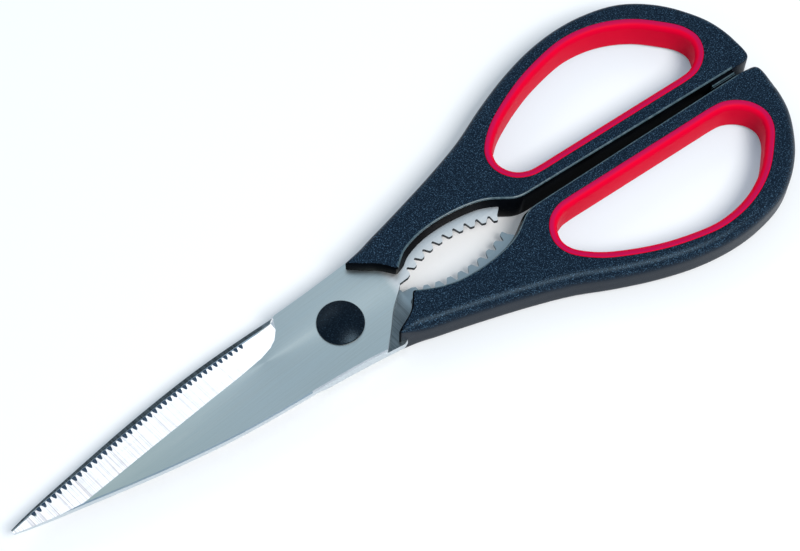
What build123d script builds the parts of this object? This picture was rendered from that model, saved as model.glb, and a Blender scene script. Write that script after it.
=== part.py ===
from build123d import *
import math
import os

os.makedirs("parts", exist_ok=True)

# Kitchen shears lying closed and flat. X runs along them with the tip at the low end, the upper
# handle is on the +Y side, Z is up from the table. Origin: middle of the length, on the table.

# Both halves
blade_reach = 88.0  # pivot to tip
handle_reach = 124.0  # pivot to the far end of the finger loops
blade_half_width = 11.0
handle_half_width = 35.7
handle_thickness = 9.5
blade_thickness = 2.0
blade_play = 0.06  # gap between the two inner blade faces
overrun = 1.0  # how far cuts run past the metal or plastic

pivot_x = (blade_reach - handle_reach) / 2
middle = handle_thickness / 2
front_floor = middle + blade_play / 2
front_top = front_floor + blade_thickness
rear_top = middle - blade_play / 2
rear_floor = rear_top - blade_thickness
flip = Axis((0, 0, middle), (1, 0, 0))  # the second half is the first turned over about this


def spots(pairs, along, across):
    """Outline points from shares: the first of a pair along X from the pivot, the second along Y."""
    return [(pivot_x + a * along, b * across) for a, b in pairs]


# Blade blank, the same stamping for both halves

# Spine side, tip to tang: shares of the reach and of the half width.
spine_shares = (
    (-1.0, -0.06), (-0.91, -0.235), (-0.82, -0.37), (-0.72, -0.52), (-0.60, -0.685),
    (-0.50, -0.80), (-0.39, -0.90), (-0.275, -0.96), (-0.15, -0.995), (0.0, -1.05),
)
# Edge side, heel to tip: place along, edge, inner line of the bevel, depth of the bevel at the edge.
bevel_shares = (
    (-0.139, 0.925, 0.90, 0.0),
    (-0.151, 0.918, 0.65, 0.45),
    (-0.170, 0.910, 0.465, 0.75),
    (-0.191, 0.903, 0.36, 0.92),
    (-0.225, 0.890, 0.27, 1.0),
    (-0.30, 0.855, 0.17, 1.0),
    (-0.40, 0.795, 0.075, 1.0),
    (-0.50, 0.705, -0.03, 1.0),
    (-0.60, 0.585, -0.13, 1.0),
    (-0.70, 0.462, -0.24, 1.0),
    (-0.80, 0.33, -0.345, 1.0),
    (-0.90, 0.195, -0.45, 1.0),
    (-1.0, 0.03, -0.55, 1.0),
)
ricasso_shares = ((-0.130, 0.955), (0.0, 1.03))
# Cheek that crosses from the spine to the first tooth, in shares of the reach of the handle.
cheek_shares = (
    (0.0397, -1.10), (0.0621, -0.83), (0.0759, -0.655), (0.0894, -0.47), (0.104, -0.30),
    (0.1206, -0.145), (0.1391, 0.045),
)
# Tang inside the handle, from its nose round to the end of the toothed strip.
nose_shares = (0.078, 1.115)
tang_shares = (
    (0.0958, 0.3143), (0.1916, 0.3359), (0.291, 0.3975), (0.3548, 0.4314), (0.3854, 0.3759),
    (0.3918, 0.2311), (0.3882, 0.0986), (0.3768, 0.0616),
)
tang_corner = 1.2
tang_relief = 0.9  # taken off the inner face of the tang and its teeth
tang_step_share = 0.137  # where that starts, in the reach of the handle
bevel_depth_share = 0.78  # of the blade's thickness, at the edge
bevel_lift = 0.02  # the bevel's cut starts this much above the face
strip_width = 0.42  # the narrow second bevel along the cutting edge
strip_heel_width = 0.8
edge_land = 0.12
spine_chamfer = 0.3

tooth_pitch = 2.92
tooth_depth = 2.0
tooth_crest_share = 0.35
tooth_round = 0.35
tooth_arc_share = 0.2411  # radius of the arc of teeth, to the reach of the handle
tooth_top_share = 0.2661  # place of its top, to the same
tooth_crest_y = 3.85
tooth_first_degrees = -25.5
tooth_last_degrees = 24.9

anchor_hole_radius = 1.6
anchor_shares = ((0.1455, 0.2465), (0.2555, 0.3143), (0.3371, 0.3328))
shank_radius = 3.0
shank_flat = 2.55  # half the width over the flats that lock the rivet to the front blade
shank_clearance = 0.04

bevel_depth = bevel_depth_share * blade_thickness
tooth_arc_radius = tooth_arc_share * handle_reach
tooth_arc_x = pivot_x + tooth_top_share * handle_reach
tooth_arc_y = tooth_crest_y - tooth_arc_radius
tooth_span = tooth_last_degrees - tooth_first_degrees
tooth_count = 1 + round(math.radians(tooth_span) * tooth_arc_radius / tooth_pitch)
tooth_step = tooth_span / (tooth_count - 1)


def arc_spot(degrees, extra):
    """A point on the arc of the teeth, so many degrees from its top and so far outside it."""
    turn = math.radians(degrees)
    radius = tooth_arc_radius + extra
    return (tooth_arc_x + radius * math.sin(turn), tooth_arc_y + radius * math.cos(turn))


def tooth_line():
    """The toothed edge, from its far end back to the cheek."""
    line = []
    for k in range(tooth_count):
        crest = tooth_last_degrees - k * tooth_step
        half = tooth_step * tooth_crest_share / 2
        line.append(arc_spot(crest + half, 0))
        line.append(arc_spot(crest - half, 0))
        if k < tooth_count - 1:
            line.append(arc_spot(crest - tooth_step / 2, tooth_depth))
    return line


edge_points = spots([(a, e) for a, e, i, d in bevel_shares], blade_reach, blade_half_width)
cheek_points = spots(cheek_shares, handle_reach, blade_half_width)
spine_points = spots(spine_shares, blade_reach, blade_half_width) + cheek_points[:1]
nose_points = spots([nose_shares], handle_reach, blade_half_width)
ricasso_points = spots(ricasso_shares, blade_reach, blade_half_width) + nose_points
tang_points = spots(tang_shares, handle_reach, handle_half_width)
anchor_points = spots(anchor_shares, handle_reach, handle_half_width)


def wedge_line(share_row, width):
    """Where the main bevel and, past it, the narrow strip stand at one place along the blade."""
    along, edge, inner, depth = share_row
    edge_y = edge * blade_half_width
    inner_y = inner * blade_half_width
    fall = (depth * bevel_depth + bevel_lift) / (edge_y - inner_y)
    if depth == 0:
        fall = 0
    reach_y = edge_y + overrun
    base = front_top + bevel_lift
    main = ((inner_y, base), (reach_y, base - fall * (reach_y - inner_y)))
    start_y = edge_y - width
    start_z = base - fall * (start_y - inner_y)
    drop = (start_z - front_floor - edge_land) / width
    if depth == 0:
        drop = 0
    strip = ((start_y, start_z), (reach_y, start_z - drop * (reach_y - start_y)))
    return main, strip


def wedge(which):
    """The solid that one bevel takes away, lofted through its sections along the blade."""
    rows = list(bevel_shares)
    last = rows[-1]
    rows.append((last[0] - overrun / blade_reach, *last[1:]))
    count = len(rows)
    with BuildPart() as cutter:
        for k, row in enumerate(rows):
            blend = min(1, k * 2 / count)
            width = strip_heel_width + (strip_width - strip_heel_width) * blend
            low, high = wedge_line(row, width)[which]
            station = pivot_x + row[0] * blade_reach
            with BuildSketch(Plane((station, 0, 0), x_dir=(0, 1, 0), z_dir=(1, 0, 0))):
                with BuildLine():
                    Polyline(low, high, (high[0], front_top + overrun), close=True)
                make_face()
        loft(ruled=True)
    return cutter.part


main_bevel = wedge(0)
narrow_bevel = wedge(1)

with BuildPart() as blank:
    with BuildSketch(Plane.XY.offset(front_floor)) as blank_face:
        with BuildLine():
            Spline(*spine_points)
            Spline(*cheek_points)
            teeth = tooth_line()
            Polyline(*tang_points, *teeth, cheek_points[-1])
            Polyline(ricasso_points[-1], tang_points[0])
            Spline(*ricasso_points)
            Line(ricasso_points[0], edge_points[0])
            Spline(*edge_points)
            Line(edge_points[-1], spine_points[0])
        make_face()
        low_tooth = min(p[0] for p in teeth) - tooth_round
        high_tooth = max(p[0] for p in teeth)
        strip_y = tooth_crest_y + tooth_depth + tooth_round
        corners = [
            v for v in blank_face.vertices()
            if low_tooth < v.X < high_tooth + tooth_round and abs(v.Y) < strip_y
        ]
        fillet(corners, radius=tooth_round)
        tang_corners = [
            v for v in blank_face.vertices()
            if v.X > tooth_arc_x and v.Y > strip_y
        ]
        fillet(tang_corners, radius=tang_corner)
    extrude(amount=blade_thickness)
    face_edges = blank.edges().filter_by_position(Axis.Z, front_top, front_top)
    spine_side = face_edges.filter_by(lambda e: e.center().Y < 0)
    chamfer(spine_side.sort_by(Edge.length)[-1], length=spine_chamfer)
    add(main_bevel, mode=Mode.SUBTRACT)
    add(narrow_bevel, mode=Mode.SUBTRACT)
    with BuildSketch(Plane.XY.offset(front_floor - overrun)):
        with Locations((pivot_x + tang_step_share * handle_reach, 0)):
            Rectangle(handle_reach, handle_half_width * 2, align=(Align.MIN, Align.CENTER))
    extrude(amount=tang_relief + overrun, mode=Mode.SUBTRACT)
    with Locations(*[(x, y, front_floor) for x, y in anchor_points]):
        Cylinder(
            anchor_hole_radius, blade_thickness,
            align=(Align.CENTER, Align.CENTER, Align.MIN), mode=Mode.SUBTRACT,
        )

# Front blade: blank with a flatted hole for the rivet and fine serrations along its edge
serration_pitch = 1.465
serration_radius = 0.86
serration_first_share = -0.932
serration_last_share = -0.25
serration_reach = 1.2  # from the narrow strip inwards
serration_depth = 0.2


def edge_at(along):
    """Edge and inner line of the bevel at a share of the reach, with the slope of the edge."""
    for near, far in zip(bevel_shares, bevel_shares[1:]):
        if far[0] <= along <= near[0]:
            part = (along - near[0]) / (far[0] - near[0])
            edge = near[1] + (far[1] - near[1]) * part
            inner = near[2] + (far[2] - near[2]) * part
            slope = (far[1] - near[1]) * blade_half_width / ((far[0] - near[0]) * blade_reach)
            return edge * blade_half_width, inner * blade_half_width, slope
    return 0, 0, 0


run = serration_last_share - serration_first_share
serration_count = 1 + round(run * blade_reach / serration_pitch)
serration_places = []
for k in range(serration_count):
    along = serration_first_share + run * k / (serration_count - 1)
    edge_y, inner_y, slope = edge_at(along)
    start_y = edge_y - strip_width
    surface = front_top - bevel_depth * (start_y - inner_y) / (edge_y - inner_y)
    lean = math.hypot(1, slope)
    outward = (-slope / lean, 1 / lean)
    fall = bevel_depth / (edge_y - inner_y) + serration_depth / serration_reach
    rise = serration_radius * math.hypot(1, fall) - serration_depth
    serration_places.append(Plane(
        (pivot_x + along * blade_reach, start_y, surface + rise),
        x_dir=(1 / lean, slope / lean, 0),
        z_dir=(outward[0], outward[1], -fall),
    ))

with BuildPart() as front_blade:
    add(blank.part)
    with Locations(*serration_places):
        Cylinder(serration_radius, 2 * (serration_reach + overrun), mode=Mode.SUBTRACT)
    with BuildSketch(Plane.XY.offset(front_floor)):
        with Locations((pivot_x, 0)):
            Circle(shank_radius)
            Rectangle(shank_radius * 2, shank_flat * 2, mode=Mode.INTERSECT)
    extrude(amount=blade_thickness, mode=Mode.SUBTRACT)
front_blade.part.label = "front_blade"

# Rear blade: the same blank turned over, with a plain edge and a round running hole
with BuildPart() as rear_blade:
    add(blank.part.rotate(flip, 180))
    with Locations((pivot_x, 0, rear_floor)):
        Cylinder(
            shank_radius + shank_clearance, blade_thickness,
            align=(Align.CENTER, Align.CENTER, Align.MIN), mode=Mode.SUBTRACT,
        )
rear_blade.part.label = "rear_blade"

# Grip insert: soft ring that lines a finger loop
loop_shares = (
    (0.855, 0.132), (0.883, 0.143), (0.911, 0.192), (0.932, 0.272), (0.941, 0.378),
    (0.9315, 0.493), (0.901, 0.619), (0.8645, 0.734), (0.824, 0.818), (0.786, 0.868),
    (0.751, 0.893), (0.719, 0.901), (0.691, 0.895), (0.639, 0.859), (0.585, 0.804),
    (0.516, 0.70), (0.469, 0.602), (0.432, 0.471), (0.4235, 0.364), (0.4306, 0.266),
    (0.449, 0.187), (0.476, 0.141), (0.50, 0.132), (0.55, 0.1315), (0.62, 0.1315),
    (0.69, 0.1315), (0.76, 0.1315), (0.82, 0.1315),
)
insert_wall = 2.1
insert_round = 1.5
rib_depth = 0.9
rib_height = 3.0
loop_points = spots(loop_shares, handle_reach, handle_half_width)


def inset(points, amount):
    """The same closed outline moved inwards by an amount."""
    moved = []
    for k, (x, y) in enumerate(points):
        ahead, behind = points[(k + 1) % len(points)], points[k - 1]
        run, climb = ahead[0] - behind[0], ahead[1] - behind[1]
        length = math.hypot(run, climb)
        moved.append((x - climb / length * amount, y + run / length * amount))
    return moved


with BuildPart() as upper_grip_insert:
    with BuildSketch():
        with BuildLine():
            Spline(*loop_points, periodic=True)
        make_face()
    extrude(amount=handle_thickness)
    with BuildSketch(Plane.XY.offset(middle - rib_height / 2)):
        with BuildLine():
            Spline(*inset(loop_points, -rib_depth), periodic=True)
        make_face()
    extrude(amount=rib_height)
    with BuildSketch():
        with BuildLine():
            Spline(*inset(loop_points, insert_wall), periodic=True)
        make_face()
    extrude(amount=handle_thickness, mode=Mode.SUBTRACT)
    by_height = upper_grip_insert.faces().sort_by(Axis.Z)
    rims = by_height[0].inner_wires() + by_height[-1].inner_wires()
    fillet([e for rim in rims for e in rim.edges()], radius=insert_round)
upper_grip_insert.part.label = "upper_grip_insert"

with BuildPart() as lower_grip_insert:
    add(upper_grip_insert.part.rotate(flip, 180))
lower_grip_insert.part.label = "lower_grip_insert"

# Handle: rigid moulding round the tang, with the nutcracker opening and the stop pad
outer_shares = (
    (0.078, 0.333), (0.161, 0.40), (0.242, 0.476), (0.323, 0.559), (0.403, 0.655),
    (0.484, 0.784), (0.565, 0.894), (0.645, 0.970), (0.718, 1.0), (0.782, 0.989),
    (0.847, 0.936), (0.891, 0.854), (0.931, 0.734), (0.960, 0.605), (0.982, 0.443),
    (0.995, 0.28), (1.0, 0.14),
)
opening_shares = (
    (0.4145, 0.0756), (0.3976, 0.1135), (0.379, 0.154), (0.355, 0.188), (0.3225, 0.2115),
    (0.298, 0.221), (0.274, 0.2255), (0.25, 0.223), (0.226, 0.214), (0.1935, 0.185),
    (0.1645, 0.14), (0.145, 0.104),
)
end_share = 0.998
gap_start_share = 0.43
gap_half_near = 1.8
gap_half_far = 1.4
shoulder_radius = 3.0
lip_radius = 0.4
pad_length = 7.0
pad_height = 6.2
pad_share = 0.922
pad_clearance = 0.12
pad_groove = 0.3
pad_groove_count = 6

outer_points = spots(outer_shares, handle_reach, handle_half_width)
opening_points = spots(opening_shares, handle_reach, handle_half_width)
end_point = (pivot_x + end_share * handle_reach, gap_half_far)
gap_point = (pivot_x + gap_start_share * handle_reach, gap_half_near)

with BuildPart() as upper_handle:
    with BuildSketch():
        with BuildLine():
            Spline(*outer_points, end_point)
            Line(end_point, gap_point)
            Line(gap_point, opening_points[0])
            Spline(*opening_points)
            Line(opening_points[-1], outer_points[0])
        make_face()
    extrude(amount=handle_thickness)
    shoulders = [e for e in upper_handle.edges() if e.length > handle_reach]
    fillet(shoulders, radius=shoulder_radius)
    lips = []
    for level in (0, handle_thickness):
        rim = upper_handle.edges().filter_by_position(Axis.Z, level, level)
        lips += rim.sort_by(Edge.length)[:-1]
    fillet(lips, radius=lip_radius)
    with BuildSketch():
        with BuildLine():
            Spline(*loop_points, periodic=True)
        make_face()
    extrude(amount=handle_thickness, mode=Mode.SUBTRACT)
    pad_wall = gap_half_near + lip_radius
    with BuildSketch(Plane.XZ.offset(-pad_wall)):
        with Locations((pivot_x + pad_share * handle_reach, middle)):
            Rectangle(pad_length, pad_height)
    extrude(amount=pad_wall - pad_clearance / 2)
    groove_pitch = pad_height / (pad_groove_count + 1)
    with BuildSketch(Plane.XZ.offset(-pad_clearance / 2 - pad_groove)):
        with Locations((pivot_x + pad_share * handle_reach, middle)):
            with GridLocations(0, groove_pitch, 1, pad_groove_count):
                Rectangle(pad_length, pad_groove)
    extrude(amount=pad_groove, mode=Mode.SUBTRACT)
    add(upper_grip_insert.part, mode=Mode.SUBTRACT)
    add(front_blade.part, mode=Mode.SUBTRACT)
upper_handle.part.label = "upper_handle"

with BuildPart() as lower_handle:
    add(upper_handle.part.rotate(flip, 180))
lower_handle.part.label = "lower_handle"

# Pivot rivet: head on the front blade, flatted shank, shoulder for the rear blade, closed end
rivet_head_radius = 3.8
rivet_head_height = 0.8
rivet_neck_radius = 2.2
rivet_end_radius = 3.2
rivet_end_height = 0.5
rivet_edge = 0.2
shoulder_play = 0.05  # the shoulder stands this much past the rear blade
washer_radius = 4.0
washer_thickness = 0.5
washer_clearance = 0.05

shoulder_end = rear_floor - shoulder_play
washer_floor = shoulder_end - washer_thickness
rivet_floor = washer_floor - rivet_end_height
pivot_side = Plane((pivot_x, 0, 0), x_dir=(1, 0, 0), z_dir=(0, -1, 0))
pivot_axis = Axis((pivot_x, 0, 0), (0, 0, 1))

with BuildPart() as pivot_rivet:
    with BuildSketch(pivot_side):
        with BuildLine():
            Polyline(
                (0, rivet_floor), (rivet_end_radius - rivet_edge, rivet_floor),
                (rivet_end_radius, rivet_floor + rivet_edge), (rivet_end_radius, washer_floor),
                (rivet_neck_radius, washer_floor), (rivet_neck_radius, shoulder_end),
                (shank_radius, shoulder_end), (shank_radius, front_top),
                (rivet_head_radius, front_top),
                (rivet_head_radius, front_top + rivet_head_height - rivet_edge),
                (rivet_head_radius - rivet_edge, front_top + rivet_head_height),
                (0, front_top + rivet_head_height), close=True,
            )
        make_face()
    revolve(axis=pivot_axis)
    flat_width = shank_radius - shank_flat
    with BuildSketch(Plane.XY.offset(front_floor)):
        with Locations((pivot_x, 0)):
            with GridLocations(0, shank_flat * 2 + flat_width, 1, 2):
                Rectangle(shank_radius * 2, flat_width)
    extrude(amount=blade_thickness, mode=Mode.SUBTRACT)
pivot_rivet.part.label = "pivot_rivet"

# Washer between the rear blade and the closed end of the rivet
with BuildPart() as rivet_washer:
    with BuildSketch(Plane.XY.offset(washer_floor)):
        with Locations((pivot_x, 0)):
            Circle(washer_radius)
            Circle(rivet_neck_radius + washer_clearance, mode=Mode.SUBTRACT)
    extrude(amount=washer_thickness)
    chamfer(rivet_washer.edges().sort_by(Edge.length)[-2:], length=rivet_edge / 2)
rivet_washer.part.label = "rivet_washer"

# Pivot caps: domed covers, one over the rivet head and one over the washer
cap_radius = 5.7
cap_rim = 0.45  # straight side under the dome
cap_rise = 1.45  # dome above the straight side
rear_cap_rim = 1.05
rear_cap_rise = 1.0
cap_fit = 0.05  # room round and over what a cap covers
cap_bead = 0.35


def cap_profile(rim_height, rise, hollow_radius, hollow_height):
    """Half section of a cap standing on zero, with its hollow."""
    rim = (cap_radius, rim_height)
    crown = (0, rim_height + rise)
    dome_radius = (cap_radius ** 2 + rise ** 2) / (2 * rise)
    half_turn = math.asin(cap_radius / dome_radius) / 2
    drop = dome_radius - dome_radius * math.cos(half_turn)
    mid = (dome_radius * math.sin(half_turn), crown[1] - drop)
    hollow = [(hollow_radius, 0), (hollow_radius, hollow_height), (0, hollow_height)]
    return rim, mid, crown, hollow


with BuildPart() as front_pivot_cap:
    rim, mid, crown, hollow = cap_profile(
        cap_rim, cap_rise, rivet_head_radius + cap_fit, rivet_head_height + cap_fit)
    with BuildSketch(Plane((pivot_x, 0, front_top), x_dir=(1, 0, 0), z_dir=(0, -1, 0))) as half:
        with BuildLine():
            Polyline(crown, hollow[2], hollow[1], hollow[0], (cap_radius, 0), rim)
            ThreePointArc(rim, mid, crown)
        make_face()
        fillet(half.vertices().sort_by_distance(rim)[0], radius=cap_bead)
    revolve(axis=pivot_axis)
front_pivot_cap.part.label = "front_pivot_cap"

with BuildPart() as rear_cap_blank:
    cover = shoulder_end - rivet_floor + cap_fit
    rim, mid, crown, hollow = cap_profile(rear_cap_rim, rear_cap_rise, washer_radius + cap_fit, cover)
    with BuildSketch(pivot_side) as half:
        with BuildLine():
            Polyline(crown, hollow[2], hollow[1], hollow[0], (cap_radius, 0), rim)
            ThreePointArc(rim, mid, crown)
        make_face()
        fillet(half.vertices().sort_by_distance(rim)[0], radius=cap_bead)
    revolve(axis=pivot_axis)

with BuildPart() as rear_pivot_cap:
    add(rear_cap_blank.part.rotate(Axis((0, 0, shoulder_end / 2), (1, 0, 0)), 180))
rear_pivot_cap.part.label = "rear_pivot_cap"

pieces = (
    front_blade, rear_blade, upper_handle, lower_handle, upper_grip_insert, lower_grip_insert,
    pivot_rivet, rivet_washer, front_pivot_cap, rear_pivot_cap,
)
for piece in pieces:
    export_step(piece.part, "parts/" + piece.part.label + ".step")
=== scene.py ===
from math import ceil, cos, dist, pi, radians, sin

import bmesh
import bpy
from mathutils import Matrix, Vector, geometry


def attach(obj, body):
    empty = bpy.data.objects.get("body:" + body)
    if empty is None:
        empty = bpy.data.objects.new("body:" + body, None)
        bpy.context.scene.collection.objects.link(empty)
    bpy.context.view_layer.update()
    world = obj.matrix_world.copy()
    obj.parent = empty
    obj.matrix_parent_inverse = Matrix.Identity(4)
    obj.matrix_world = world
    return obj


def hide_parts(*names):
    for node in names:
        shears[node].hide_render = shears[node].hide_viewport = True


# Kitchen shears lying closed on a white table, tips towards -X and finger loops towards +X.
# The half with the front blade and the upper handle turns about the rivet.
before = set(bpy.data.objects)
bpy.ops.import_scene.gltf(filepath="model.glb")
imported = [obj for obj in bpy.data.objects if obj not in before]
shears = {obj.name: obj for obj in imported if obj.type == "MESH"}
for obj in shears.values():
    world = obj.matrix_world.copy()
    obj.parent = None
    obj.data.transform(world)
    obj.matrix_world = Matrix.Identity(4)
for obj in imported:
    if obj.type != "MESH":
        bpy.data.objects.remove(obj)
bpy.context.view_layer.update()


# Blades: two equal stampings of stainless steel, laid face to face on one rivet. Each is
# brushed along its length, then ground to a bright bevel and a narrow second one.
MM = 0.001  # brings millimetres to Blender's metres

# Limits between which a mask rises, or falls where the first is the larger. Places are in
# millimetres. A slope is how far a face looks up or down, 1 for a level face, 0 for a wall,
# and a side slope is how far it looks along the shears.
heel_x = (-33.2, -32.9)
serrated_x = (-38.8, -39.1)
tang_x = (-3.5, -1.5)
scallop_y = (0.0, 0.4)
scallop_lit_z = (4.92, 5.02)
wall_shadow_split_z = (5.6, 5.8)
tip_shade_x = (-105.0, -45.0)
tip_marks_x = (-55.0, -100.0)
mark_fade_x = (-104.0, -30.0)
flat_slopes = (0.984, 0.994)
bevel_slopes = (0.950, 0.962)
heel_slopes = (0.4, 0.5)
strip_low_slopes = (0.68, 0.72)
strip_high_slopes = (0.86, 0.82)
strip_side_slopes = (0.24, 0.2)
scallop_slopes = (0.968, 0.96)
scallop_side_slopes = (0.10, 0.14)
scallop_wall_slopes = (0.3, 0.4)
wall_slopes = (0.35, 0.2)
inner_slopes = (0.9, 0.97)

face_shade = (0.66, 0.74, 0.73)
tip_shade = (0.48, 0.57, 0.51)
smudge_shade = (0.70, 0.77, 0.76)
bevel_shade = (0.86, 0.86, 0.86)
mark_shade = (0.25, 0.20, 0.22)
strip_shade = (0.34, 0.44, 0.52)
scallop_painted_light = (0.34, 0.46, 0.58)
scallop_painted_shade = (0.05, 0.08, 0.12)
tooth_painted_highlight = (0.97, 0.96, 0.93)
wall_shade = (0.66, 0.71, 0.74)
wall_shadow_low = (0.20, 0.25, 0.28)
wall_shadow_dark = (0.015, 0.018, 0.022)
wall_shadow_light = (0.08, 0.09, 0.10)


def dimmed(colour, share):
    return tuple(share * channel for channel in colour)


def in_metres(limits):
    return tuple(limit * MM for limit in limits)


class Wiring:
    """Adds nodes to one tree and joins them up, a line for each node."""

    def __init__(self, tree):
        self.tree = tree

    def feed(self, node, label, value):
        """Joins an input to another node's output, or sets it to a plain value."""
        socket = node.inputs[label]
        if isinstance(value, bpy.types.NodeSocket):
            self.tree.links.new(value, socket)
        else:
            socket.default_value = value

    def put(self, kind, settings=None, **inputs):
        node = self.tree.nodes.new(kind)
        for key, value in (settings or {}).items():
            setattr(node, key, value)
        for key, value in inputs.items():
            self.feed(node, key.replace("_", " "), value)
        return node

    def math(self, operation, *values):
        node = self.put("ShaderNodeMath", {"operation": operation})
        for k, value in enumerate(values):
            self.feed(node, k, value)
        return node.outputs[0]

    def times(self, product, *others):
        for other in others:
            product = self.math("MULTIPLY", product, other)
        return product

    def rest_of(self, mask):
        return self.math("SUBTRACT", 1.0, mask)

    def compare(self, operation, one, other):
        node = self.put("FunctionNodeCompare", {"data_type": "FLOAT", "operation": operation})
        self.feed(node, 0, one)
        self.feed(node, 1, other)
        return node.outputs[0]

    def span(self, value, limits, ends=(0.0, 1.0)):
        """A value brought from one pair of limits to another, and held there."""
        node = self.put("ShaderNodeMapRange", Value=value, From_Min=limits[0], From_Max=limits[1],
                        To_Min=ends[0], To_Max=ends[1])
        return node.outputs["Result"]

    def mix(self, share, one, other):
        """Two colours, plain or wired, mixed by a share of the second."""
        node = self.put("ShaderNodeMix", {"data_type": "RGBA"})
        self.feed(node, 0, share)
        for socket, value in ((6, one), (7, other)):
            self.feed(node, socket, value if isinstance(value, bpy.types.NodeSocket) else (*value, 1))
        return node.outputs[2]

    def vector(self, x=0.0, y=0.0, z=0.0):
        return self.put("ShaderNodeCombineXYZ", X=x, Y=y, Z=z).outputs[0]

    def apart(self, vector):
        return self.put("ShaderNodeSeparateXYZ", Vector=vector).outputs

    def noise(self, vector, scale, detail, roughness=0.5):
        node = self.put("ShaderNodeTexNoise", Vector=vector, Scale=scale, Detail=detail, Roughness=roughness)
        return node.outputs["Fac"]

    def use(self, group, vector, **values):
        """Places a shader node group with values of its own."""
        return self.put("ShaderNodeGroup", {"node_tree": group}, Vector=vector, **values).outputs


class Finish(Wiring):
    """A material. Constants go on its shader's own sockets, and patterns are wired to them."""

    def __init__(self, name, **constants):
        self.material = bpy.data.materials.new(name)
        self.material.use_nodes = True
        super().__init__(self.material.node_tree)
        self.shader = self.tree.nodes["Principled BSDF"]
        self.place = self.put("ShaderNodeTexCoord").outputs["Object"]
        self.give(**constants)

    def give(self, **inputs):
        for key, value in inputs.items():
            self.feed(self.shader, key.replace("_", " "), value)

    def mapped(self, **values):
        return self.put("ShaderNodeMapping", Vector=self.place, **values).outputs[0]

    def slope(self):
        return self.apart(self.put("ShaderNodeNewGeometry").outputs["Normal"])

    def bump(self, strength, depth, height):
        """Small dents from a height pattern, with their depth in millimetres."""
        node = self.put("ShaderNodeBump", Strength=strength, Distance=depth * MM, Height=height)
        return node.outputs[0]


def new_tree(kind, name, inputs, outputs):
    """An empty node tree with named sockets. Gives the tree, its wiring, its inputs and its end."""
    tree = bpy.data.node_groups.new(name, kind)
    for way, sockets in (("INPUT", inputs), ("OUTPUT", outputs)):
        for label, socket_kind in sockets.items():
            tree.interface.new_socket(label, in_out=way, socket_type="NodeSocket" + socket_kind)
    given = tree.nodes.new("NodeGroupInput").outputs
    return tree, Wiring(tree), given, tree.nodes.new("NodeGroupOutput")


brushing, wires, given, end = new_tree(
    "ShaderNodeTree", "steel brushing",
    {"Vector": "Vector", "Coarse": "Float", "Fine": "Float", "Length": "Float"},
    {"Lines": "Float", "Height": "Float"})
drawn_out = wires.put("ShaderNodeVectorMath", {"operation": "MULTIPLY"})
wires.feed(drawn_out, 0, given["Vector"])
wires.feed(drawn_out, 1, wires.vector(given["Length"], 1.0, given["Length"]))
fine = wires.noise(drawn_out.outputs[0], given["Fine"], 3.0, 0.6)
coarse = wires.noise(drawn_out.outputs[0], given["Coarse"], 2.0)
wires.feed(end, "Lines", wires.math("ADD", wires.times(fine, 0.6), wires.times(coarse, 0.4)))
wires.feed(end, "Height", fine)

smudging, wires, given, end = new_tree(
    "ShaderNodeTree", "smudges", {"Vector": "Vector", "Size": "Float"}, {"Mask": "Float"})
cloud = wires.noise(given["Vector"], given["Size"], 4.0, 0.6)
wires.feed(end, "Mask", wires.span(cloud, (0.35, 0.7)))


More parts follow.
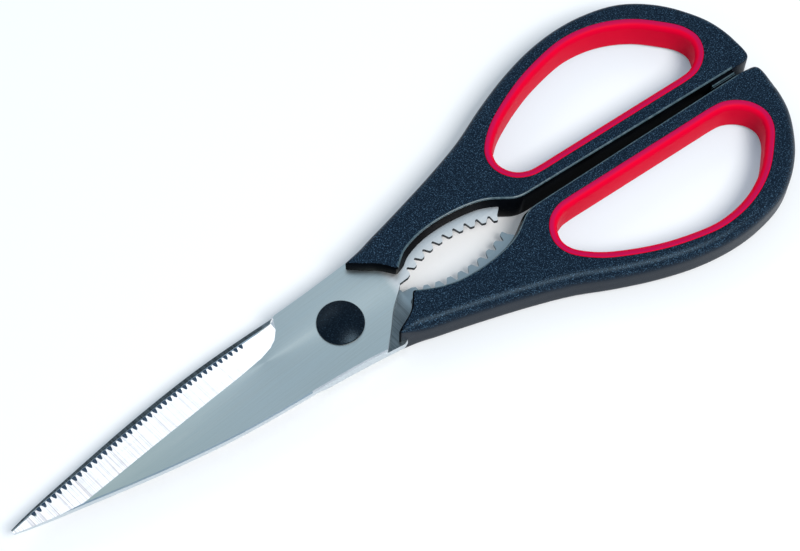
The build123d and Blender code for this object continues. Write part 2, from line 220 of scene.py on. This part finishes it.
def blade_steel(name, inner_painted_shade, inner_way):
    """Brushed steel, with its bevels, walls and grinding marks told apart by slope and place, and painted
    shade and highlights.
    """
    steel = Finish(name, Metallic=1.0, IOR=2.6, Anisotropic=0.35)
    spot = steel.apart(steel.place)
    slope = steel.slope()
    upright = steel.math("ABSOLUTE", slope["Z"])
    sideways = steel.math("ABSOLUTE", slope["X"])
    heel = steel.span(spot["X"], in_metres(heel_x))
    tang = steel.span(spot["X"], in_metres(tang_x))
    flat = steel.span(upright, flat_slopes)
    wall = steel.span(upright, wall_slopes)
    tilted = steel.rest_of(flat)
    bevel = steel.math("MAXIMUM", steel.times(tilted, steel.span(upright, bevel_slopes)),
                       steel.times(tilted, heel, steel.span(upright, heel_slopes)))
    strip = steel.times(
        steel.span(upright, strip_low_slopes), steel.span(upright, strip_high_slopes),
        steel.span(sideways, strip_side_slopes), steel.rest_of(heel))
    scallop = steel.math("MAXIMUM", steel.span(upright, scallop_slopes),
                         steel.span(sideways, scallop_side_slopes))
    scallop = steel.times(
        scallop, steel.span(upright, scallop_wall_slopes), steel.span(spot["X"], in_metres(serrated_x)),
        steel.rest_of(strip), steel.span(spot["Y"], in_metres(scallop_y)))
    brushed = steel.use(brushing, steel.mapped(Rotation=(0, 0, radians(-5))),
                        Coarse=900.0, Fine=4200.0, Length=0.02)
    crossed = steel.use(brushing, steel.mapped(Rotation=(0, 0, radians(82))),
                        Coarse=1900.0, Fine=4200.0, Length=0.012)
    cloud = steel.use(smudging, steel.place, Size=45.0)["Mask"]
    # brushed face: grey, a little darker and warmer towards the tip
    tone = steel.mix(steel.span(spot["X"], in_metres(tip_shade_x), (1.0, 0.0)), face_shade, tip_shade)
    brush = steel.span(brushed["Lines"], (0.38, 0.62))
    tone = steel.mix(steel.times(brush, 0.34), tone, dimmed(face_shade, 0.62))
    tone = steel.mix(steel.times(cloud, 0.14), tone, smudge_shade)
    # inner face: hollow ground, painted dark as shade between the blades, lighter at the heel and on the
    # tang, with marks across the blade
    inner_side = steel.span(steel.times(slope["Z"], inner_way), inner_slopes)
    scored = steel.span(crossed["Lines"], (0.42, 0.6))
    low, fair, high, lit_tang = (dimmed(inner_painted_shade, share) for share in (0.45, 1.0, 1.7, 3.0))
    inner = steel.mix(heel, steel.mix(scored, low, fair), steel.mix(scored, fair, high))
    tone = steel.mix(inner_side, tone, steel.mix(tang, inner, lit_tang))
    # the front blade's toothed strip, face up on the tang, is painted near white as a highlight
    if inner_way < 0:
        tone = steel.mix(steel.times(tang, flat), tone, tooth_painted_highlight)
    # ground bevel: bright, with thin marks square to the edge, strongest near the tip
    tipward = steel.span(spot["X"], in_metres(tip_marks_x), (0.0, 0.055))
    marks = steel.span(steel.math("ADD", crossed["Lines"], tipward), (0.53, 0.70))
    fade = steel.span(spot["X"], in_metres(mark_fade_x), (0.75, 0.3))
    bright = steel.mix(steel.times(marks, fade), bevel_shade, mark_shade)
    tone = steel.mix(bevel, tone, bright)
    tone = steel.mix(strip, tone, strip_shade)
    # scallops: painted shade in their hollows, with painted light on their lower ends
    foot = steel.span(spot["Z"], in_metres(scallop_lit_z))
    tone = steel.mix(scallop, tone, steel.mix(foot, scallop_painted_light, scallop_painted_shade))
    # sheared wall: painted dark as shade along the teeth, darkest and mottled at random in its upper part,
    # plain steel elsewhere
    upper_wall_shadow = steel.mix(steel.noise(steel.place, 2600.0, 2.0), wall_shadow_dark, wall_shadow_light)
    teeth_wall_shadow = steel.mix(steel.span(spot["Z"], in_metres(wall_shadow_split_z)), wall_shadow_low, upper_wall_shadow)
    tone = steel.mix(wall, tone, steel.mix(tang, wall_shade, teeth_wall_shadow))
    rough = steel.span(brushed["Lines"], (0.3, 0.7), (0.28, 0.42))
    rough = steel.math("ADD", rough, steel.times(wall, 0.2))
    rough = steel.math("SUBTRACT", rough, steel.times(bevel, 0.04))
    height = steel.math("ADD", steel.times(brushed["Height"], flat), steel.times(crossed["Height"], bevel))
    steel.give(Base_Color=tone, Roughness=rough, Normal=steel.bump(0.5, 0.02, height))
    return steel.material


def dress(node, material):
    """Gives a CAD node its material."""
    shears[node].data.materials.clear()
    shears[node].data.materials.append(material)


dress("front_blade", blade_steel("front blade steel", inner_painted_shade=(0.2, 0.22, 0.22), inner_way=-1))
dress("rear_blade", blade_steel("rear blade steel", inner_painted_shade=(0.13, 0.155, 0.165), inner_way=1))

# Rivet and washer: turned steel. The flatted shank turns with the front blade, and the closed
# end holds the washer against the rear blade, both out of sight under the caps.
pivot_x = -18.0

turned = Finish("turned rivet steel", Metallic=1.0, Roughness=0.3)
centred = turned.mapped(Location=(-pivot_x * MM, 0, 0))
tool_marks = turned.put(
    "ShaderNodeTexWave", {"wave_type": "RINGS", "rings_direction": "Z"},
    Vector=centred, Scale=900.0, Distortion=0.6, Detail=2.0).outputs["Fac"]
turned.give(Base_Color=turned.mix(tool_marks, (0.56, 0.57, 0.58), (0.72, 0.73, 0.74)),
            Normal=turned.bump(0.3, 0.02, tool_marks))
dress("pivot_rivet", turned.material)

rolled = Finish("rolled washer steel", Metallic=1.0)
scuffs = rolled.use(smudging, rolled.place, Size=600.0)["Mask"]
rolled.give(Base_Color=rolled.mix(scuffs, (0.60, 0.61, 0.62), (0.45, 0.46, 0.48)),
            Roughness=rolled.span(scuffs, (0.0, 1.0), (0.28, 0.5)))
dress("rivet_washer", rolled.material)

# Handles and caps: one glass-filled plastic, almost black with a blue cast, moulded in a
# spark-textured tool. The grain sparkles on the tops and is polished off in the openings,
# whose walls are painted near black as shade and whose lips carry a painted highlight.
grain, wires, given, end = new_tree(
    "ShaderNodeTree", "moulded grain", {"Vector": "Vector", "Size": "Float"},
    {"Speckle": "Float", "Height": "Float"})
small = wires.noise(given["Vector"], given["Size"], 1.5, 0.6)
wide = wires.noise(given["Vector"], wires.times(given["Size"], 0.45), 2.0)
mixed = wires.math("ADD", wires.times(small, 0.7), wires.times(wide, 0.3))
wires.feed(end, "Speckle", wires.span(mixed, (0.545, 0.69)))
wires.feed(end, "Height", small)


def grained_plastic(name, dark, light, roughness, grain_size):
    """Dark plastic with fine light specks on its tops and a slightly pitted skin."""
    plastic = Finish(name, IOR=1.45, Specular_IOR_Level=0.2, Specular_Tint=(0.55, 0.8, 1.0, 1))
    pits = plastic.use(grain, plastic.place, Size=grain_size)
    cloud = plastic.use(smudging, plastic.place, Size=70.0)["Mask"]
    tops = plastic.span(plastic.math("ABSOLUTE", plastic.slope()["Z"]), (0.1, 0.45))
    tone = plastic.mix(plastic.times(pits["Speckle"], tops), dark, light)
    tone = plastic.mix(plastic.times(cloud, 0.25), tone, dimmed(dark, 1.5))
    rough = plastic.span(pits["Height"], (0.3, 0.7), (roughness - 0.05, roughness + 0.05))
    plastic.give(Base_Color=tone, Roughness=rough, Normal=plastic.bump(0.4, 0.06, pits["Height"]))
    return plastic.material


handle_plastic = grained_plastic(
    "handle plastic", dark=(0.0014, 0.0050, 0.0122), light=(0.10, 0.20, 0.31), roughness=0.37,
    grain_size=5600.0)

# Walls of the gap, the opening and the nose: smooth, and painted near black as the shade in them.
shaded_wall_plastic = Finish("wall plastic, painted shade", IOR=1.3, Specular_IOR_Level=0.02)
rub = shaded_wall_plastic.use(smudging, shaded_wall_plastic.place, Size=140.0)["Mask"]
ripple = shaded_wall_plastic.noise(shaded_wall_plastic.place, 1800.0, 2.0)
shaded_wall_plastic.give(
    Base_Color=shaded_wall_plastic.mix(rub, (0.0012, 0.0016, 0.0022), (0.003, 0.004, 0.006)),
    Roughness=shaded_wall_plastic.span(rub, (0.0, 1.0), (0.16, 0.26)),
    Normal=shaded_wall_plastic.bump(0.08, 0.03, ripple))

# Lips along the gap and the opening, and the stop pads' ribs: lighter than the plastic, as a painted
# highlight.
lit_lip_plastic = Finish("lip plastic, painted highlight", IOR=1.5)
rub = lit_lip_plastic.use(smudging, lit_lip_plastic.place, Size=900.0)["Mask"]
lit_lip_plastic.give(
    Base_Color=lit_lip_plastic.mix(rub, (0.030, 0.060, 0.075), (0.075, 0.120, 0.140)),
    Roughness=lit_lip_plastic.span(rub, (0.0, 1.0), (0.2, 0.34)))

cap_plastic = grained_plastic(
    "cap plastic", dark=(0.0006, 0.0022, 0.0052), light=(0.022, 0.042, 0.064), roughness=0.3,
    grain_size=5200.0)
dress("front_pivot_cap", cap_plastic)
dress("rear_pivot_cap", cap_plastic)

# Handles: two equal mouldings round the tangs. Broad shoulders outside, crisp lips along the
# gap and the nutcracker opening, whose walls lean in, and a dished nose against the blades.
thickness = 9.5
handle_reach = 124.0
handle_half_width = 35.7
# places as shares of the reach and the half width, from the rivet: the outer edge from nose to
# gap, the opening from gap to nose, and the finger loop
outer_shares = (
    (0.078, 0.333), (0.161, 0.40), (0.242, 0.476), (0.323, 0.559), (0.403, 0.655),
    (0.484, 0.784), (0.565, 0.894), (0.645, 0.970), (0.718, 1.0), (0.782, 0.989),
    (0.847, 0.936), (0.891, 0.854), (0.931, 0.734), (0.960, 0.605), (0.986, 0.443),
    (0.9985, 0.28), (1.0, 0.15), (0.998, 0.075),
)
opening_shares = (
    (0.43, 0.0504), (0.4145, 0.0756), (0.3976, 0.1135), (0.379, 0.154), (0.355, 0.188),
    (0.3225, 0.2115), (0.298, 0.221), (0.274, 0.2255), (0.25, 0.223), (0.226, 0.214),
    (0.1935, 0.185), (0.1645, 0.14), (0.145, 0.104),
)
loop_shares = (
    (0.855, 0.132), (0.883, 0.143), (0.911, 0.192), (0.932, 0.272), (0.941, 0.378),
    (0.9315, 0.493), (0.901, 0.619), (0.8645, 0.734), (0.824, 0.818), (0.786, 0.868),
    (0.751, 0.893), (0.719, 0.901), (0.691, 0.895), (0.639, 0.859), (0.585, 0.804),
    (0.516, 0.70), (0.469, 0.602), (0.432, 0.471), (0.4235, 0.364), (0.4306, 0.266),
    (0.449, 0.187), (0.476, 0.141), (0.50, 0.132), (0.55, 0.1315), (0.62, 0.1315),
    (0.69, 0.1315), (0.76, 0.1315), (0.82, 0.1315),
)
gap_end_shares = (0.998, 0.028)
outer_step, opening_step, nose_step, gap_step = 0.8, 0.7, 0.7, 1.2  # between spots of a line
least_gap = 0.001  # between two spots, so that no step divides by zero
shoulder_round = 3.0  # on the back
front_round = 1.8  # on the side that the photograph shows
lip_round = 0.4
hole_round = 0.3
rim_width, hole_rim_width = 0.15, 0.12  # a last ring of the flat faces, outside the rounding
turn_steps, hole_turn_steps = 7, 4
on_grain, on_shaded_wall, on_lit_lip = 0, 1, 2  # where the moulding's three finishes stand in its list
# how far a spot may lie from a line to belong to it
line_reach, nose_reach, nose_margin, wall_reach = 0.8, 2.2, 3.0, 1.0
opening_run = 2.0
# the shoulder grows to its full round from the nose's corner and from the gap's, where it
# starts with a share of it
shoulder_run = 6.0
end_start, end_share = 1.5, 0.4
corner_start, corner_run = 1.8, 4.0
shoulder_least = 0.02
# lean of a wall at five heights, from its underside up; positive leans into the plastic
nose_lean = (0.15, 0.1, 0.05, 0.0, 0.3)
nose_dish = (0.7, 0.7, 0.7, -0.3, -0.3)
opening_lean = (0.0, -0.8, -0.8, -0.8, 0.0)
# the nose's outer corner runs on along the blade's edge, and the upper half of its inner
# corner leans towards the middle of the shears
push_way = (-0.78, -0.62)
nose_push, push_run = 1.3, 10.0
lip_push, lip_run = 1.0, 5.0
lip_push_z, lip_push_rise = 4.2, 1.4


def places(pairs):
    """Points in millimetres from shares of the handle's reach and half width."""
    return [(pivot_x + a * handle_reach, b * handle_half_width) for a, b in pairs]


def curve_through(points, step, closed=False):
    """A smooth line through points, with a spot about every step of its length."""
    count = len(points)
    line = []
    for k in range(count if closed else count - 1):
        here, there = points[k], points[(k + 1) % count]
        before = points[k - 1] if closed or k else here
        after = points[(k + 2) % count] if closed or k + 2 < count else there
        gaps = [max(dist(p, q), least_gap) ** 0.5
                for p, q in ((before, here), (here, there), (there, after))]
        pull = []
        for axis in (0, 1):
            run = there[axis] - here[axis]
            start = run if before == here else gaps[1] * (
                (here[axis] - before[axis]) / gaps[0]
                - (there[axis] - before[axis]) / (gaps[0] + gaps[1]) + run / gaps[1])
            finish = run if after == there else gaps[1] * (
                run / gaps[1] - (after[axis] - here[axis]) / (gaps[1] + gaps[2])
                + (after[axis] - there[axis]) / gaps[2])
            pull.append((start, finish))
        pieces = max(2, ceil(gaps[1] ** 2 / step))
        for n in range(pieces):
            t = n / pieces
            shares = (2 * t ** 3 - 3 * t ** 2 + 1, t ** 3 - 2 * t ** 2 + t,
                      3 * t ** 2 - 2 * t ** 3, t ** 3 - t ** 2)
            line.append(tuple(
                shares[0] * here[axis] + shares[1] * pull[axis][0]
                + shares[2] * there[axis] + shares[3] * pull[axis][1] for axis in (0, 1)))
    return line if closed else line + [points[-1]]


def straight(start, finish, step):
    pieces = ceil(dist(start, finish) / step)
    return [tuple(a + (b - a) * n / pieces for a, b in zip(start, finish)) for n in range(pieces + 1)]


def inward(line):
    """Unit directions to the left of a closed line, at each of its spots."""
    found = []
    for k in range(len(line)):
        before, after = line[k - 1], line[(k + 1) % len(line)]
        length = dist(before, after)
        found.append(((before[1] - after[1]) / length, (after[0] - before[0]) / length))
    return found


def blunt(line, corner, reach, steps=6):
    """Rounds a corner of a line: spots nearer to it than reach give way to an arc."""
    near = [k for k, spot in enumerate(line) if dist(spot, corner) < reach]
    first, last = min(near), max(near)
    start, finish = line[first - 1], line[(last + 1) % len(line)]
    arc = []
    for n in range(1, steps):
        t = n / steps
        arc.append(tuple(
            (1 - t) ** 2 * a + 2 * t * (1 - t) * b + t * t * c for a, b, c in zip(start, corner, finish)))
    return line[:first] + arc + line[last + 1:]


outer_line = curve_through(places(outer_shares), outer_step)
gap_corner = places([gap_end_shares])[0]
opening_line = curve_through(places(opening_shares), opening_step)
gap_line = straight(gap_corner, opening_line[0], gap_step)
nose_line = straight(opening_line[-1], outer_line[0], nose_step)
outline = list(reversed(outer_line[:-1] + gap_line[:-1] + opening_line[:-1] + nose_line[:-1]))
half_way = len(outer_line) // 2
outline = outline[-half_way:] + outline[:-half_way]
for corner, reach in (
        (outer_line[0], 0.6), (opening_line[-1], 0.5), (opening_line[0], 1.3), (gap_corner, 2.2)):
    outline = blunt(outline, corner, reach)


def nearness(spot, line):
    """Distance from a spot to the nearest spot of a line, and how far along that is."""
    found = [dist(spot, other) for other in line]
    best = min(range(len(found)), key=found.__getitem__)
    return found[best], best / (len(line) - 1)


def smooth_step(value):
    value = min(1.0, max(0.0, value))
    return value * value * (3 - 2 * value)


def within(x, y, ring):
    """Whether a place lies inside a closed line."""
    inside = False
    for k in range(len(ring)):
        (x0, y0), (x1, y1) = ring[k - 1], ring[k]
        if (y0 > y) != (y1 > y) and x < x0 + (y - y0) * (x1 - x0) / (y1 - y0):
            inside = not inside
    return inside


def quarter(radius, steps):
    """A rounded corner from wall to face: how far each spot is in, and how far from the face."""
    turns = [pi / 2 * n / steps for n in range(steps + 1)]
    return [(radius * (1 - cos(turn)), radius * (1 - sin(turn))) for turn in turns]


def side_column(spot, way):
    """Spots up the moulding's side from one spot of its outline, and its finish there."""
    to_outer = nearness(spot, outer_line)[0]
    to_opening = nearness(spot, opening_line)[0]
    to_nose, nose_share = nearness(spot, nose_line)
    from_nose = dist(spot, outer_line[0])
    from_end = dist(spot, gap_corner)
    shoulder = smooth_step(1 - to_outer / line_reach) * smooth_step(from_nose / shoulder_run)
    shoulder *= end_share + (1 - end_share) * smooth_step((from_end - end_start) / shoulder_run)
    shoulder = max(shoulder, end_share * smooth_step(1 - (from_end - corner_start) / corner_run))
    low, high = (lip_round + (full - lip_round) * shoulder for full in (shoulder_round, front_round))
    on_nose = smooth_step(1 - to_nose / nose_reach) * sin(pi * nose_share)
    on_opening = smooth_step(1 - to_opening / line_reach)
    on_opening *= smooth_step(1 - (spot[0] - opening_line[0][0]) / opening_run)
    on_opening *= 1 - smooth_step(1 - to_nose / nose_margin)
    wall = []
    for row, (lean, dish) in enumerate(zip(nose_lean, nose_dish)):
        inset = on_nose * (lean + dish * sin(pi * nose_share)) + on_opening * opening_lean[row]
        wall.append((inset, low + (thickness - low - high) * row / (len(nose_lean) - 1)))
    foot, head = wall[0][0], wall[-1][0]
    column = [(foot + low + rim_width, 0.0)]
    column += [(foot + inset, z) for inset, z in quarter(low, turn_steps)[:0:-1]]
    column += wall
    column += [(head + inset, thickness - drop) for inset, drop in quarter(high, turn_steps)[1:]]
    column.append((head + high + rim_width, thickness))
    push = nose_push * (1 - smooth_step(from_nose / push_run))
    dip = lip_push * (1 - smooth_step(dist(spot, nose_line[0]) / lip_run))
    # walls take the painted shade, and lips away from the nose the painted highlight
    polished = on_shaded_wall if to_nose < wall_reach else on_lit_lip
    finish = on_grain if shoulder > shoulder_least else polished
    return [(
        spot[0] + way[0] * inset + push_way[0] * push,
        spot[1] + way[1] * inset + push_way[1] * push - dip * smooth_step((z - lip_push_z) / lip_push_rise),
        z) for inset, z in column], finish


def hole_column(spot, way):
    """Spots up the wall of the hole for the insert, from one spot of the loop's outline."""
    turn = quarter(hole_round, hole_turn_steps)
    column = [(hole_round + hole_rim_width, 0.0)] + turn[::-1]
    column += [(inset, thickness - z) for inset, z in turn]
    column.append((hole_round + hole_rim_width, thickness))
    return [(spot[0] - way[0] * inset, spot[1] - way[1] * inset, z) for inset, z in column]


def close_face(mesh, outer_rim, hole_rim):
    """Fills a flat face between the moulding's edge and its hole."""
    inside_with_holes, weld = 2, 1e-7
    spots = outer_rim + hole_rim
    rings = (range(len(outer_rim)), range(len(outer_rim), len(spots)))
    edges = [(ring[k - 1], ring[k]) for ring in rings for k in range(len(ring))]
    flat = [spot.co.xy for spot in spots]
    found_places, _, found_faces, sources = geometry.delaunay_2d_cdt(
        flat, edges, [], inside_with_holes, weld)[:4]
    level = spots[0].co.z
    corners = [spots[source[0]] if source else mesh.verts.new((*place, level))
               for place, source in zip(found_places, sources)]
    for face in found_faces:
        x, y = (sum(found_places[k][axis] for k in face) / len(face) for axis in (0, 1))
        if within(x, y, flat[:len(outer_rim)]) and not within(x, y, flat[len(outer_rim):]):
            mesh.faces.new([corners[k] for k in face])


side_columns = [side_column(spot, way) for spot, way in zip(outline, inward(outline))]
hole_line = curve_through(places(loop_shares), outer_step, closed=True)
hole_columns = [(hole_column(spot, way), on_grain) for spot, way in zip(hole_line, inward(hole_line))]


def handle_mesh(name, flipped):
    """The moulding: rings of spots up its side and its hole, and flat faces between them."""
    mesh = bmesh.new()
    rims = ([], [])
    wall_rows = range(turn_steps + 1, turn_steps + len(nose_lean))
    for walls in (side_columns, hole_columns):
        grid = [[mesh.verts.new((
            x * MM, (-y if flipped else y) * MM, (thickness - z if flipped else z) * MM))
            for x, y, z in column] for column, _ in walls]
        for k, (_, finish) in enumerate(walls):
            here, there = grid[k - 1], grid[k]
            last_row = len(here) - 2
            for n in range(last_row + 1):
                face = mesh.faces.new((here[n], there[n], there[n + 1], here[n + 1]))
                if finish != on_grain and 0 < n < last_row:
                    face.material_index = on_shaded_wall if n in wall_rows else finish
        rims[0].append([column[0] for column in grid])
        rims[1].append([column[-1] for column in grid])
    for outer_rim, hole_rim in rims:
        close_face(mesh, outer_rim, hole_rim)
    bmesh.ops.recalc_face_normals(mesh, faces=mesh.faces[:])
    for face in mesh.faces:
        face.smooth = True
    data = bpy.data.meshes.new(name)
    mesh.to_mesh(data)
    mesh.free()
    piece = bpy.data.objects.new(name, data)
    bpy.context.scene.collection.objects.link(piece)
    return piece


halves = (("upper", False, "upper_half"), ("lower", True, "lower_half"))
for side, flipped, body in halves:
    moulding = handle_mesh(side + "_moulding", flipped)
    for finish in (handle_plastic, shaded_wall_plastic.material, lit_lip_plastic.material):
        moulding.data.materials.append(finish)
    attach(moulding, body)
    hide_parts(side + "_handle")

# Stop pads: a block on each handle's gap wall, moulded with it, with fine ribs along the gap
# where the two meet when the shears close.
pad_length = 7.0
pad_height = 7.2
pad_depth = 1.4
pad_rib_radius = 0.28
pad_rib_count = 6
pad_rib_sides = 12
pad_share = 0.922  # of the handle's reach
pad_x = pivot_x + pad_share * handle_reach
pad_face_y = 0.36  # from the middle of the gap
proud_y = -0.01  # what stands further out than this is a rib

pad_tree, wires, given, end = new_tree(
    "GeometryNodeTree", "ribbed stop pad",
    {"Length": "Float", "Height": "Float", "Depth": "Float", "Rib radius": "Float", "Ribs": "Int",
     "Finish": "Material", "Rib highlight finish": "Material"},
    {"Geometry": "Geometry"})
rib = wires.put("GeometryNodeMeshCylinder", {"fill_type": "NGON"},
                Vertices=pad_rib_sides, Radius=given["Rib radius"], Depth=given["Length"])
lying = wires.put("GeometryNodeTransform", Geometry=rib.outputs["Mesh"], Rotation=(0, pi / 2, 0))
room = wires.math("SUBTRACT", given["Height"], wires.times(given["Rib radius"], 2.0))
rib_step = wires.math("DIVIDE", room, wires.math("SUBTRACT", given["Ribs"], 1.0))
row = wires.put("GeometryNodeMeshLine", {"mode": "OFFSET"}, Count=given["Ribs"],
                Start_Location=wires.vector(z=wires.times(room, -0.5)), Offset=wires.vector(z=rib_step))
ribs = wires.put("GeometryNodeInstanceOnPoints", Points=row.outputs[0], Instance=lying.outputs[0])
block = wires.put("GeometryNodeMeshCube",
                  Size=wires.vector(given["Length"], given["Depth"], given["Height"]))
set_back = wires.put("GeometryNodeTransform", Geometry=block.outputs["Mesh"],
                     Translation=wires.vector(y=wires.times(given["Depth"], 0.5)))
joined = wires.put("GeometryNodeJoinGeometry")
wires.feed(joined, 0, ribs.outputs[0])
wires.feed(joined, 0, set_back.outputs[0])
real = wires.put("GeometryNodeRealizeInstances", Geometry=joined.outputs[0])
painted = wires.put("GeometryNodeSetMaterial", Geometry=real.outputs[0], Material=given["Finish"])
depth_at = wires.apart(wires.put("GeometryNodeInputPosition").outputs[0])["Y"]
ribs_painted = wires.put(
    "GeometryNodeSetMaterial", Geometry=painted.outputs[0],
    Selection=wires.compare("LESS_THAN", depth_at, proud_y * MM), Material=given["Rib highlight finish"])
wires.feed(end, 0, ribs_painted.outputs[0])


def grown(name, data, tree, values):
    """Runs a geometry tree on an object and keeps the result as a plain mesh."""
    host = bpy.data.objects.new("host", data)
    bpy.context.scene.collection.objects.link(host)
    modifier = host.modifiers.new(tree.name, "NODES")
    modifier.node_group = tree
    for socket in tree.interface.items_tree:
        if socket.name in values:
            modifier[socket.identifier] = values[socket.name]
    shape = host.evaluated_get(bpy.context.evaluated_depsgraph_get())
    mesh = bpy.data.meshes.new_from_object(shape)
    host.modifiers.remove(modifier)
    bpy.data.objects.remove(host)
    mesh.name = name
    piece = bpy.data.objects.new(name, mesh)
    bpy.context.scene.collection.objects.link(piece)
    return piece


# each pad's block takes the painted shade of the gap walls, and its ribs the painted highlight
for side, flipped, body in halves:
    pad = grown(side + "_stop_pad", bpy.data.meshes.new("pad host"), pad_tree, {
        "Length": pad_length * MM, "Height": pad_height * MM, "Depth": pad_depth * MM,
        "Rib radius": pad_rib_radius * MM, "Ribs": pad_rib_count,
        "Finish": shaded_wall_plastic.material, "Rib highlight finish": lit_lip_plastic.material})
    way = -1 if flipped else 1
    for vertex in pad.data.vertices:
        x, y, z = vertex.co
        vertex.co = (x + pad_x * MM, way * (y + pad_face_y * MM), way * z + thickness / 2 * MM)
    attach(pad, body)

# Grip inserts: soft rubber rings, moulded into the finger loops. Their section, a strip with
# rounded inner corners, runs round the loop's outline.
insert_wall = 2.1
insert_inner_round = 1.75
insert_outer_round = 0.25
insert_turn_steps = 6
insert_step = 0.9

ring_tree, wires, given, end = new_tree(
    "GeometryNodeTree", "grip insert ring",
    {"Outline": "Geometry", "Wall": "Float", "Height": "Float", "Inner round": "Float",
     "Outer round": "Float", "Finish": "Material"},
    {"Geometry": "Geometry"})
section = wires.put("GeometryNodeCurvePrimitiveQuadrilateral", Width=given["Wall"], Height=given["Height"])
across = wires.apart(wires.put("GeometryNodeInputPosition").outputs[0])["X"]
roundness = wires.put("GeometryNodeSwitch", {"input_type": "FLOAT"},
                      Switch=wires.compare("GREATER_THAN", across, 0.0),
                      **{"False": given["Outer round"], "True": given["Inner round"]})
eased = wires.put("GeometryNodeFilletCurve", {"mode": "POLY"}, Curve=section.outputs[0],
                  Count=insert_turn_steps, Radius=roundness.outputs[0])
shifted = wires.put("GeometryNodeTransform", Geometry=eased.outputs[0],
                    Translation=wires.vector(x=wires.times(given["Wall"], 0.5)))
level = wires.put("GeometryNodeSetCurveNormal", {"mode": "Z_UP"}, Curve=given["Outline"])
swept = wires.put("GeometryNodeCurveToMesh", Curve=level.outputs[0], Profile_Curve=shifted.outputs[0])
smooth = wires.put("GeometryNodeSetShadeSmooth", Geometry=swept.outputs[0])
real = wires.put("GeometryNodeRealizeInstances", Geometry=smooth.outputs[0])
painted = wires.put("GeometryNodeSetMaterial", Geometry=real.outputs[0], Material=given["Finish"])
wires.feed(end, 0, painted.outputs[0])

grip_rubber = Finish("grip rubber", IOR=1.3, Specular_IOR_Level=0.06)
cloud = grip_rubber.use(smudging, grip_rubber.place, Size=90.0)["Mask"]
shaded_top = grip_rubber.span(grip_rubber.math("ABSOLUTE", grip_rubber.slope()["Z"]), (0.8, 0.99))
tone = grip_rubber.mix(grip_rubber.times(cloud, 0.4), (0.80, 0.0, 0.028), (0.66, 0.0, 0.023))
# the ring's top is painted darker and bluer than its wall, as shade with a painted sheen of the sky
tone = grip_rubber.mix(shaded_top, tone, (0.45, 0.006, 0.066))
# the light it throws on the table is a pale lavender, as in the photo, not a strong red
thrown = grip_rubber.put("ShaderNodeLightPath").outputs["Is Diffuse Ray"]
tone = grip_rubber.mix(thrown, tone, (0.16, 0.15, 0.27))
fine = grip_rubber.noise(grip_rubber.place, 3000.0, 2.0)
grip_rubber.give(Base_Color=tone, Roughness=grip_rubber.span(shaded_top, (0.0, 1.0), (0.42, 0.55)),
                 Normal=grip_rubber.bump(0.15, 0.03, fine))

loop_line = curve_through(places(loop_shares), insert_step, closed=True)
for side, flipped, body in halves:
    path = bpy.data.curves.new("loop_outline", "CURVE")
    path.dimensions = "3D"
    spline = path.splines.new("POLY")
    spline.points.add(len(loop_line) - 1)
    for point, (x, y) in zip(spline.points, loop_line if flipped else reversed(loop_line)):
        point.co = (x * MM, (-y if flipped else y) * MM, thickness / 2 * MM, 1)
    spline.use_cyclic_u = True
    ring = grown(side + "_insert_ring", path, ring_tree, {
        "Wall": insert_wall * MM, "Height": thickness * MM, "Inner round": insert_inner_round * MM,
        "Outer round": insert_outer_round * MM, "Finish": grip_rubber.material})
    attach(ring, body)
    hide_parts(side + "_grip_insert")

# Table and light: a plain white sheet under a large soft lamp on the near side, with a soft
# panel beyond the shears that the ground bevels show as white.
table_reach = 3.0  # in metres, to each side
table_glow = 0.12
floor_mesh = bpy.data.meshes.new("table")
corners = [(a * table_reach, b * table_reach, 0) for a, b in ((-1, -1), (1, -1), (1, 1), (-1, 1))]
floor_mesh.from_pydata(corners, [], [(0, 1, 2, 3)])
table = bpy.data.objects.new("table", floor_mesh)
bpy.context.scene.collection.objects.link(table)
table_white = Finish("table white", Roughness=0.9, Specular_IOR_Level=0.0, Emission_Color=(1, 1, 1, 1))
cloud = table_white.use(smudging, table_white.place, Size=3.0)["Mask"]
ray = table_white.put("ShaderNodeLightPath").outputs
seen = table_white.math("MAXIMUM", ray["Is Glossy Ray"], ray["Is Transmission Ray"])
seen = table_white.math("MAXIMUM", ray["Is Camera Ray"], seen)
table_white.give(Base_Color=table_white.mix(cloud, (0.80, 0.80, 0.80), (0.79, 0.79, 0.79)),
                 Emission_Strength=table_white.times(seen, table_glow))
floor_mesh.materials.append(table_white.material)

world = bpy.data.worlds.new("studio")
bpy.context.scene.world = world
world.use_nodes = True
sky = world.node_tree.nodes["Background"]
sky.inputs["Color"].default_value = (0.68, 0.84, 1.0, 1)
sky.inputs["Strength"].default_value = 0.58


def soft_lamp(name, place, aim, size, power, colour):
    """A square or oblong lamp at a place in metres, turned to its aim."""
    lamp = bpy.data.lights.new(name, "AREA")
    lamp.shape = "RECTANGLE"
    lamp.size, lamp.size_y = size
    lamp.energy, lamp.color = power, colour
    stand = bpy.data.objects.new(name, lamp)
    bpy.context.scene.collection.objects.link(stand)
    stand.location = place
    stand.rotation_euler = (Vector(aim) - Vector(place)).to_track_quat("-Z", "Y").to_euler()


soft_lamp("near lamp", place=(0.10, -0.50, 0.75), aim=(0, 0, 0), size=(0.4, 0.4), power=7.0,
          colour=(1, 0.98, 0.96))
soft_lamp("far panel", place=(-0.05, 0.60, 0.50), aim=(-0.02, 0, 0), size=(0.7, 0.3), power=0.9,
          colour=(1, 1, 1))

# Camera: a long lens above the near side, fitted to the outlines of the two handles, which
# are mirror images of each other.
lens = bpy.data.cameras.new("photo camera")
lens.lens, lens.sensor_width = 90, 36
camera = bpy.data.objects.new("photo camera", lens)
bpy.context.scene.collection.objects.link(camera)
camera.location = (-0.1224, -0.1728, 0.4253)
camera.rotation_euler = (radians(27.06), 0, radians(-35.06))
bpy.context.scene.camera = camera
bpy.context.scene.view_settings.view_transform = "Standard"
